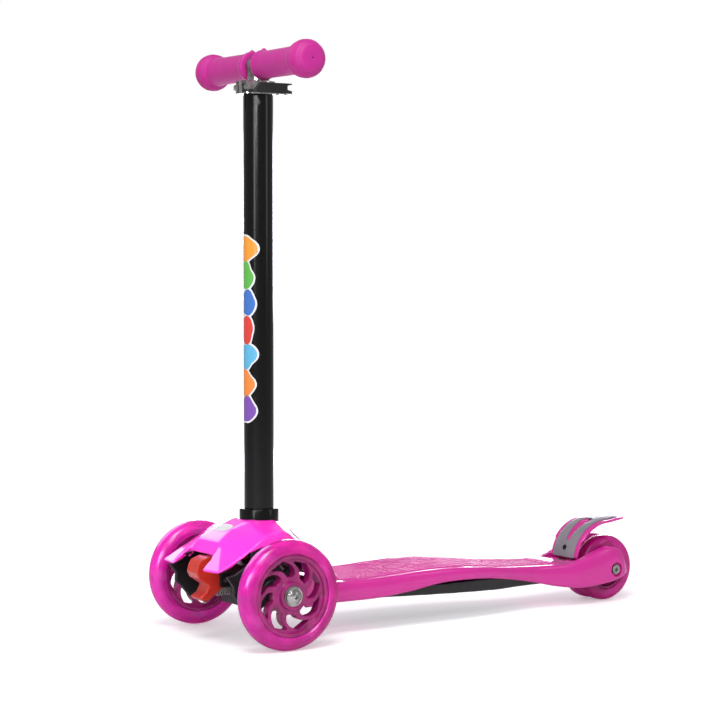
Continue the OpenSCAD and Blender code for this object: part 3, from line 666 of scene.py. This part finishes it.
def make_badge():
    """A plain oval label laid on the cover's nose."""
    cover = bpy.data.objects["cover"]
    clear_selection()
    bpy.ops.mesh.primitive_grid_add(x_subdivisions=40, y_subdivisions=24, size=2)
    badge = bpy.context.object
    badge.name = "badge"
    for vertex in badge.data.vertices:
        u, v = vertex.co.x, vertex.co.y
        x = u * math.sqrt(1 - v * v / 2) * BADGE_HALF[0]
        y = v * math.sqrt(1 - u * u / 2) * BADGE_HALF[1]
        vertex.co = Vector((x, AXLE_Y + BADGE_Y + y, 160)) * MM
    apply_modifier(badge, "SHRINKWRAP", target=cover, wrap_method="PROJECT", use_project_z=True,
                   use_negative_direction=True, use_positive_direction=False, offset=0.0004)
    finish_piece(badge, MATERIALS["white"], "deck", None)


BLOCK_STRETCH = 1.72    # brings the light blocks close under the tyre's side skins


def make_front_wheels():
    for word in ("left", "right"):
        centre = centre_of(f"front_tyre_{word}")
        body = f"wheel_front_{word}"
        tyre = turned(f"front_tyre_{word}_cast", tyre_outline(45, FRONT_R, 25, 11), centre, 128)
        finish_piece(tyre, MATERIALS["magenta"], body, "magenta_urethane", f"front_tyre_{word}")
        blocks = node_copy(f"front_lights_{word}", f"front_lights_{word}_cast")
        middle = centre.x * MM
        for vertex in blocks.data.vertices:
            vertex.co.x = middle + (vertex.co.x - middle) * BLOCK_STRETCH
        apply_modifier(blocks, "BEVEL", width=0.6 * MM, segments=2, limit_method="ANGLE")
        finish_piece(blocks, MATERIALS["light"], body, "light_module", f"front_lights_{word}")
        hub = remeshed(node_copy(f"front_hub_{word}", f"front_hub_{word}_cast"), 0.85, 3)
        finish_piece(hub, MATERIALS["core"], body, "magenta_urethane", f"front_hub_{word}", angle=60)


def make_rear_wheels():
    for word in ("left", "right"):
        centre = centre_of(f"rear_tyre_{word}")
        body = f"wheel_rear_{word}"
        tyre = turned(f"rear_tyre_{word}_cast", tyre_outline(26, REAR_R, 22, 8.5), centre, 96)
        finish_piece(tyre, MATERIALS["magenta"], body, "magenta_urethane", f"rear_tyre_{word}")
        hub = remeshed(node_copy(f"rear_hub_{word}", f"rear_hub_{word}_cast"), 0.7, 2)
        finish_piece(hub, MATERIALS["core"], body, "magenta_urethane", f"rear_hub_{word}", angle=60)


def make_steering():
    """The steering arms and the release lever."""
    for word in ("left", "right"):
        arm = remeshed(node_copy(f"knuckle_{word}", f"knuckle_{word}_moulded"), 0.9, 3)
        finish_piece(arm, MATERIALS["black"], f"steering_{word}", "black_plastic", f"knuckle_{word}",
                     angle=60)
    lever = remeshed(node_copy("release_lever", "release_lever_moulded"), 0.7, 3)
    finish_piece(lever, MATERIALS["red"], "release", "red_plastic", "release_lever", angle=60)


def make_stem():
    """The bar socket with its collar, and the clamp lever."""
    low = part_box("bar_socket")[0].z / MM
    profile = [(16.7, low), (19, low), (20, low + 1), (20, 123), (21.2, 123.2), (22, 124), (22, 141.4),
               (21.6, 142.4), (20.6, 143), (17.4, 143), (16.7, 142.4)]
    socket = turned("bar_socket_moulded", profile, (0, TUBE.y, 0), 96, axis="Z")
    cut(socket, box_piece("hook_window", (-7, TUBE.y - 30, 84), (7, TUBE.y - 10, 101)))
    finish_piece(socket, MATERIALS["satin_black"], "deck", "black_plastic", "bar_socket")
    lever = remeshed(node_copy("clamp_lever", "clamp_lever_moulded"), 0.4, 3)
    finish_piece(lever, MATERIALS["black"], "clamp", "black_plastic", "clamp_lever", angle=60)


RINGED = (90, 115)      # the part of a grip's section that has rings
RING_PITCH = 2.6
RING_STEP = 0.25


def make_grips(sizes):
    """The grips: fine rings are drawn into the section of the swollen end, which is then spun."""
    ring_depth = sizes.ring_depth / MM
    for side, word in ((1, "left"), (-1, "right")):
        profile = []
        run = 0.0
        for k, (r, x) in enumerate(GRIP):
            following = Vector(GRIP[(k + 1) % len(GRIP)])
            length = (following - Vector((r, x))).length
            steps = max(int(length / RING_STEP), 1) if RINGED[0] <= x < RINGED[1] else 1
            for i in range(steps):
                t = i / steps
                ring = ring_depth * smooth_step(math.cos(math.tau * (run + length * t) / RING_PITCH),
                                                0, 0.9)
                point = Vector((r, x)).lerp(following, t)
                profile.append((point.x - (ring if steps > 1 else 0), point.y))
            run += length if steps > 1 else 0
        grip = turned(f"grip_{word}_moulded", [(r, side * x) for r, x in profile],
                      (0, BAR.y, BAR.z), 96)
        clear_selection()
        bpy.ops.mesh.primitive_uv_sphere_add(segments=24, ring_count=12, radius=3 * MM,
                                             location=(side * 13 * MM, BAR.y * MM, (BAR.z + 15.6) * MM))
        nub = bpy.context.object
        bpy.ops.object.transform_apply(location=True, rotation=True, scale=True)
        joined(grip.name, [grip, nub])
        finish_piece(grip, MATERIALS["grip"], "mast", "pink_grip", f"grip_{word}", angle=40)


# The brake plate's arc in the (y, z) plane, and the fine ribs across its window.
BRAKE_ARC_Y, BRAKE_ARC_Z, BRAKE_ARC_R = 505, 49.5, 50.05
RIBS, RIB_FIRST, RIB_GAP = 9, 104, 4.6


def make_brake():
    fender = remeshed(node_copy("brake_fender", "brake_fender_moulded"), 0.75, 3)
    finish_piece(fender, MATERIALS["pink"], "brake", "pink_plastic", "brake_fender", angle=60)
    ribs = []
    for k in range(RIBS):
        turn = math.radians(RIB_FIRST + RIB_GAP * k)
        middle = (AXLE_Y + BRAKE_ARC_Y + BRAKE_ARC_R * math.cos(turn),
                  BRAKE_ARC_Z + BRAKE_ARC_R * math.sin(turn))
        half = 3 + 4.6 * (RIBS - 1 - k) / (RIBS - 1)    # the window narrows upwards
        ribs.append(rod_piece("rib", 0.7, (-half, *middle), (half, *middle), 12))
    joined("brake_ribs", ribs)
    finish_piece(ribs[0], MATERIALS["pink"], "brake", "pink_plastic")
    plate = node_copy("brake_plate", "brake_plate_pressed")
    edit_all(plate, (bpy.ops.mesh.dissolve_limited, {"angle_limit": math.radians(3)}))
    apply_modifier(plate, "BEVEL", width=0.25 * MM, segments=2, limit_method="ANGLE",
                   angle_limit=math.radians(50))
    finish_piece(plate, MATERIALS["plate"], "brake", "grey_plate", "brake_plate")


def blob(count, radius, seed):
    """A rounded outline with soft lobes: (angle, radius) pairs round it."""
    points = []
    for i in range(count):
        a = math.tau * i / count
        lobes = (1 + 0.09 * math.cos(3 * a + seed) + 0.08 * math.cos(2 * a + 2.3 * seed)
                 + 0.04 * math.cos(5 * a))
        points.append((a, radius * lobes))
    return points


def decal_patch(name, ink, outline, across, height, lift):
    """A patch on the stem tube's skin; the outline is measured along the skin and up the tube."""
    count = len(outline)
    rings = 5
    stretch = 1.15      # each shape is a little taller than wide
    points = []
    for k in range(rings + 1):
        for a, r in outline:
            skin = across + r * k / rings * math.cos(a)
            turn = math.radians(-90) + skin / TUBE_R
            points.append(((TUBE_R + lift) * math.cos(turn), TUBE.y + (TUBE_R + lift) * math.sin(turn),
                           height + r * k / rings * stretch * math.sin(a)))
    faces = [[k * count + i, k * count + (i + 1) % count, (k + 1) * count + (i + 1) % count,
              (k + 1) * count + i] for k in range(1, rings) for i in range(count)]
    faces += [[0, count + i, count + (i + 1) % count] for i in range(count)]
    patch = from_points(name, points, faces=faces)
    tidy_normals(patch)
    finish_piece(patch, ink, "stem", None)


# The printed shapes: ink, colour, place across the skin, height and radius.
DECAL = (("orange", "#ee9a35", 0.6, 432, 13.2), ("green", "#5fb64c", -0.6, 402, 12.6),
         ("blue", "#3f74c4", 0.5, 372, 12.8), ("red", "#dd4038", -0.4, 342.5, 12.6),
         ("sky", "#5fb4dc", 0.6, 313, 13.0), ("amber", "#f08c3c", -0.5, 283, 12.8),
         ("violet", "#7d4fb0", 0.3, 253.5, 13.0))


BLOB_POINTS = 48
WHITE_EDGE = 1.9        # how far the white shows round each shape


def make_decal():
    """Seven plain lobed shapes down the tube, each on a white edge."""
    for k, (word, code, across, height, radius) in enumerate(DECAL):
        ink = printed_vinyl(f"printed_vinyl_{word}", code, code)
        decal_patch(f"decal_edge_{word}", MATERIALS["white"],
                    blob(BLOB_POINTS, radius + WHITE_EDGE, k * 1.3), across, height, 0.12)
        decal_patch(f"decal_{word}", ink, blob(BLOB_POINTS, radius, k * 1.3), across, height, 0.22)


# ---- stage ----

WHITE = (1, 1, 1)
# Name, place, aim, size, power in watts and colour; places and sizes are in metres.
LIGHTS = (
    ("key", (0.9, -0.9, 2.2), (0, 0, 0.1), (1.0, 1.0), 30, WHITE),
    ("left_soft", (1.3, -2.5, 1.1), (0, -0.2, 0.2), (0.35, 1.4), 12, WHITE),
    ("right_soft", (2.0, 1.6, 1.0), (0, 0.1, 0.1), (0.4, 1.2), 3, WHITE),
    ("glint_strip", (1.15, -1.35, 0.75), (0, -0.2, 0.1), (0.5, 0.015), 4, WHITE),
    ("glint_spot", (1.6, -0.7, 1.3), (0, -0.1, 0.1), (0.06, 0.06), 4, WHITE),
    ("back_strip", (-1.9, 1.2, 0.5), (0, 0, 0.05), (1.6, 0.4), 22, (0.93, 0.86, 1.0)),
)
# These two shine only on the cover and the front tyres, and turn their pink towards lavender.
COVER_LIGHTS = (
    ("violet_soft", (0.35, -1.3, 0.55), (0, -0.26, 0.1), (0.5, 0.4), 17, (0.5, 0.42, 1.0)),
    ("lavender_back", (-1.2, -0.32, 0.85), (0, -0.27, 0.11), (0.9, 0.7), 8, (0.72, 0.6, 1.0)),
)
# The floor glows towards its far edge, so that it meets the white backdrop with no line.
FLOOR_GLOW = {"From Min": 0.5, "From Max": 2.6, "To Min": 0.36, "To Max": 0.85}
WORLD_FILL = 0.36       # the backdrop's strength as a light; it shows at full strength
CAMERA_PLACE = (2.0528, -1.3984, 0.4181)
CAMERA_AIM = (-0.8408, 0.5394, -0.0464)
CAMERA_LENS = 106.2


def area_light(name, location, target, size, power, colour):
    data = bpy.data.lights.new(name, "AREA")
    data.shape = "RECTANGLE"
    data.size, data.size_y = size
    data.energy = power
    data.color = colour
    light = bpy.data.objects.new(name, data)
    bpy.context.scene.collection.objects.link(light)
    light.location = location
    light.rotation_euler = (Vector(target) - Vector(location)).to_track_quat("-Z", "Y").to_euler()
    return light


def make_floor():
    clear_selection()
    bpy.ops.mesh.primitive_plane_add(size=60, location=(0, 0, 0))
    floor = bpy.context.object
    floor.name = "floor"
    # Matt white paper: no gloss, so it takes only soft shadows.
    paper, tree, bsdf, place = new_material("matt_white_paper", "#f1f0f2", Roughness=0.9)
    seen = add_node(tree, "ShaderNodeLightPath").outputs["Is Camera Ray"]
    away = add_node(tree, "ShaderNodeVectorMath", {"operation": "LENGTH"}, {0: place}).outputs["Value"]
    level = add_node(tree, "ShaderNodeMapRange", FLOOR_GLOW, {"Value": away}).outputs["Result"]
    glow = add_node(tree, "ShaderNodeMath", {"operation": "MULTIPLY"}, {0: seen, 1: level})
    bsdf.inputs["Emission Color"].default_value = (1, 1, 1, 1)
    tree.links.new(glow.outputs["Value"], bsdf.inputs["Emission Strength"])
    floor.data.materials.append(paper)


def make_world():
    world = bpy.data.worlds.new("studio")
    world.use_nodes = True
    tree = world.node_tree
    back = tree.nodes["Background"]
    back.inputs["Color"].default_value = (1, 1, 1, 1)
    seen = add_node(tree, "ShaderNodeLightPath").outputs["Is Camera Ray"]
    level = add_node(tree, "ShaderNodeMapRange", {"To Min": WORLD_FILL, "To Max": 1.0}, {"Value": seen})
    tree.links.new(level.outputs["Result"], back.inputs["Strength"])
    bpy.context.scene.world = world


def make_camera():
    scene = bpy.context.scene
    data = bpy.data.cameras.new("camera")
    data.lens = CAMERA_LENS
    data.clip_end = 100
    camera = bpy.data.objects.new("camera", data)
    scene.collection.objects.link(camera)
    camera.location = CAMERA_PLACE
    camera.rotation_euler = Vector(CAMERA_AIM).to_track_quat("-Z", "Y").to_euler()
    scene.camera = camera
    scene.view_settings.view_transform = "Standard"


def make_stage():
    """The floor, the backdrop, the lights and the camera."""
    make_floor()
    make_world()
    for light in LIGHTS:
        area_light(*light)
    lit = bpy.data.collections.new("violet_lit")
    for name in ("cover", "front_tyre_left_cast", "front_tyre_right_cast"):
        lit.objects.link(bpy.data.objects[name])
    for light in COVER_LIGHTS:
        area_light(*light).light_linking.receiver_collection = lit
    make_camera()


# ---- add-on ----

class ScooterSizes(bpy.types.PropertyGroup):
    """Sizes and colours of the modelled pieces."""
    tread_height: bpy.props.FloatProperty(
        name="Tread height", description="Height of the deck's tread ridges", default=0.0015,
        unit="LENGTH", precision=5)
    tread_pitch: bpy.props.FloatProperty(
        name="Tread pitch", description="Distance between the deck's tread ridges", default=0.0085,
        unit="LENGTH", precision=5)
    cover_wall: bpy.props.FloatProperty(
        name="Cover wall", description="Thickness of the front cover's skin", default=0.003,
        unit="LENGTH", precision=4)
    ring_depth: bpy.props.FloatProperty(
        name="Ring depth", description="Depth of the rings round the grips' ends", default=0.001,
        unit="LENGTH", precision=5)
    pink: bpy.props.StringProperty(
        name="Pink", description="sRGB hex colour of the deck and cover", default="#dc2a9e")
    magenta: bpy.props.StringProperty(
        name="Magenta", description="sRGB hex colour of the cast tyres", default="#d8229c")
    core: bpy.props.StringProperty(
        name="Wheel core", description="sRGB hex colour of the wheel hubs", default="#c0278a")
    grip: bpy.props.StringProperty(
        name="Grip", description="sRGB hex colour of the handle grips", default="#be1a8c")
    red: bpy.props.StringProperty(
        name="Red", description="sRGB hex colour of the release lever", default="#d8362c")


class SCOOTER_OT_finish_frame(bpy.types.Operator):
    """Makes the materials and finishes the parts shown as their CAD model."""
    bl_idname = "scooter.finish_frame"
    bl_label = "Finish the CAD parts"
    bl_options = {"REGISTER", "UNDO"}

    def execute(self, context):
        make_materials(context.scene.scooter_sizes)
        finish_cad_nodes()
        return {"FINISHED"}


class SCOOTER_OT_deck(bpy.types.Operator):
    """Models the deck with its wavy tread, fork arms and underframe."""
    bl_idname = "scooter.deck"
    bl_label = "Deck"
    bl_options = {"REGISTER", "UNDO"}

    def execute(self, context):
        make_deck(context.scene.scooter_sizes)
        make_underframe()
        return {"FINISHED"}


class SCOOTER_OT_cover(bpy.types.Operator):
    """Models the front cover and the plain oval label on its nose."""
    bl_idname = "scooter.cover"
    bl_label = "Front cover"
    bl_options = {"REGISTER", "UNDO"}

    def execute(self, context):
        make_cover(context.scene.scooter_sizes)
        make_badge()
        return {"FINISHED"}


class SCOOTER_OT_front_wheels(bpy.types.Operator):
    """Models the two cast front wheels."""
    bl_idname = "scooter.front_wheels"
    bl_label = "Front wheels"
    bl_options = {"REGISTER", "UNDO"}

    def execute(self, context):
        make_front_wheels()
        return {"FINISHED"}


class SCOOTER_OT_rear_wheels(bpy.types.Operator):
    """Models the two cast rear wheels."""
    bl_idname = "scooter.rear_wheels"
    bl_label = "Rear wheels"
    bl_options = {"REGISTER", "UNDO"}

    def execute(self, context):
        make_rear_wheels()
        return {"FINISHED"}


class SCOOTER_OT_steering(bpy.types.Operator):
    """Models the steering arms and the red release lever."""
    bl_idname = "scooter.steering"
    bl_label = "Steering"
    bl_options = {"REGISTER", "UNDO"}

    def execute(self, context):
        make_steering()
        return {"FINISHED"}


class SCOOTER_OT_stem(bpy.types.Operator):
    """Models the bar socket, the clamp lever and the printed shapes on the tube."""
    bl_idname = "scooter.stem"
    bl_label = "Stem"
    bl_options = {"REGISTER", "UNDO"}

    def execute(self, context):
        make_stem()
        make_decal()
        return {"FINISHED"}


class SCOOTER_OT_grips(bpy.types.Operator):
    """Models the two handle grips."""
    bl_idname = "scooter.grips"
    bl_label = "Grips"
    bl_options = {"REGISTER", "UNDO"}

    def execute(self, context):
        make_grips(context.scene.scooter_sizes)
        return {"FINISHED"}


class SCOOTER_OT_brake(bpy.types.Operator):
    """Models the rear brake fender and its plate."""
    bl_idname = "scooter.brake"
    bl_label = "Brake"
    bl_options = {"REGISTER", "UNDO"}

    def execute(self, context):
        make_brake()
        return {"FINISHED"}


class SCOOTER_OT_stage(bpy.types.Operator):
    """Sets up the floor, lights and camera."""
    bl_idname = "scooter.stage"
    bl_label = "Stage"
    bl_options = {"REGISTER", "UNDO"}

    def execute(self, context):
        make_stage()
        return {"FINISHED"}


OPERATORS = (SCOOTER_OT_finish_frame, SCOOTER_OT_deck, SCOOTER_OT_cover, SCOOTER_OT_front_wheels,
             SCOOTER_OT_rear_wheels, SCOOTER_OT_steering, SCOOTER_OT_stem, SCOOTER_OT_grips,
             SCOOTER_OT_brake, SCOOTER_OT_stage)


class SCOOTER_PT_pieces(bpy.types.Panel):
    """Lists the scooter's sizes and pieces."""
    bl_idname = "SCOOTER_PT_pieces"
    bl_label = "Scooter"
    bl_space_type = "VIEW_3D"
    bl_region_type = "UI"
    bl_category = "Scooter"

    def draw(self, context):
        for name in ScooterSizes.__annotations__:
            self.layout.prop(context.scene.scooter_sizes, name)
        for operator in OPERATORS:
            self.layout.operator(operator.bl_idname)


CLASSES = (ScooterSizes, *OPERATORS, SCOOTER_PT_pieces)


def register():
    for item in CLASSES:
        bpy.utils.register_class(item)
    bpy.types.Scene.scooter_sizes = bpy.props.PointerProperty(type=ScooterSizes)


def unregister():
    del bpy.types.Scene.scooter_sizes
    for item in reversed(CLASSES):
        bpy.utils.unregister_class(item)


def main():
    """Models every piece in order."""
    register()
    for operator in OPERATORS:
        family, name = operator.bl_idname.split(".")
        getattr(getattr(bpy.ops, family), name)()


if __name__ == "__main__":
    main()
